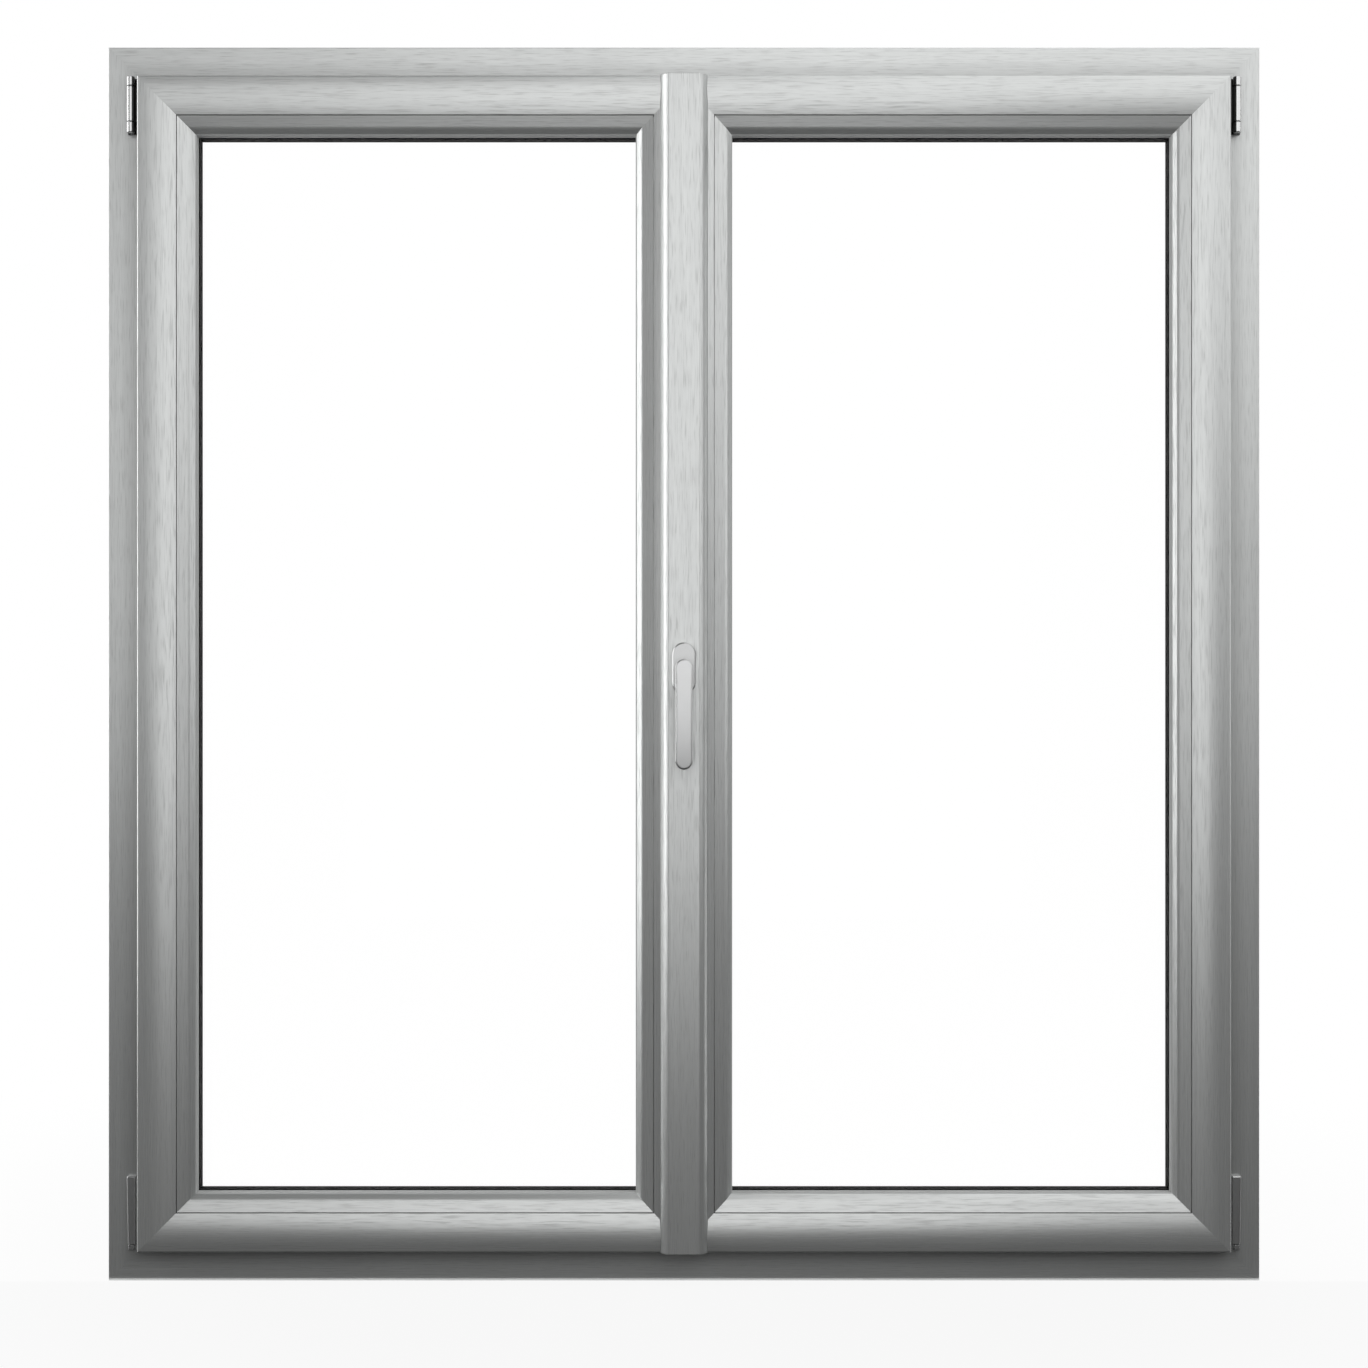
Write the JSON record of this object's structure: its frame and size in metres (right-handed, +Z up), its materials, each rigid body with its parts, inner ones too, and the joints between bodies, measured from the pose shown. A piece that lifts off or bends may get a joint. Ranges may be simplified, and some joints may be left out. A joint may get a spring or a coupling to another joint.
{
  "type": "pvc window",
  "caption": "Side-hung PVC window with paired leaves in grey grained foil, meeting under a central cover strip that carries a turning lever handle.",
  "frame": {"origin": "middle of the frame's flat underside, halfway along the sill and at half the frame's depth", "axes": "+X to the right as seen from the room, +Y outdoors through the frame, +Z up"},
  "size_m": [1.4, 0.1543, 1.5],
  "materials": {
    "foil": "satin grey foil with a fine lengthwise grain",
    "gasket": "matt black",
    "bead_lip": "matt light grey",
    "glass": "clear",
    "spacer": "matt black",
    "handle_metal": "satin silver",
    "hinge_metal": "satin silver",
    "hinge_cover": "satin silver",
    "drain_plastic": "satin grey"
  },
  "bodies": {
    "window": {"drain_covers": "drain_plastic", "frame_gasket": "gasket", "frame_head": "foil", "frame_left_jamb": "foil", "frame_right_jamb": "foil", "frame_sill": "foil", "handle_rosette": "handle_metal", "inner_cover_strip": "foil", "left_bead_bottom": "foil", "left_bead_hinge_side": "foil", "left_bead_lips": "bead_lip", "left_bead_lock_side": "foil", "left_bead_top": "foil", "left_bottom_hinge_cap": "hinge_cover", "left_bottom_hinge_pivot": "hinge_cover", "left_glazing_gaskets": "gasket", "left_inner_pane": "glass", "left_outer_pane": "glass", "left_sash_bottom_rail": "foil", "left_sash_gasket": "gasket", "left_sash_hinge_stile": "foil", "left_sash_lock_stile": "foil", "left_sash_top_rail": "foil", "left_spacer": "spacer", "left_top_hinge_bracket": "hinge_metal", "left_top_hinge_sleeve": "hinge_metal", "outer_cover_strip": "foil", "right_bead_bottom": "foil", "right_bead_hinge_side": "foil", "right_bead_lips": "bead_lip", "right_bead_lock_side": "foil", "right_bead_top": "foil", "right_bottom_hinge_cap": "hinge_cover", "right_bottom_hinge_pivot": "hinge_cover", "right_glazing_gaskets": "gasket", "right_inner_pane": "glass", "right_outer_pane": "glass", "right_sash_bottom_rail": "foil", "right_sash_gasket": "gasket", "right_sash_hinge_stile": "foil", "right_sash_lock_stile": "foil", "right_sash_top_rail": "foil", "right_spacer": "spacer", "right_top_hinge_bracket": "hinge_metal", "right_top_hinge_sleeve": "hinge_metal"},
    "handle": {"handle_lever": "handle_metal"}
  },
  "joints": [
    {"name": "handle_turn", "type": "hinge", "parent": "window", "child": "handle", "pos_m": [0, -0.0743, 0.7445], "axis": [0, -1, 0], "range_deg": [0, 180]}
  ]
}
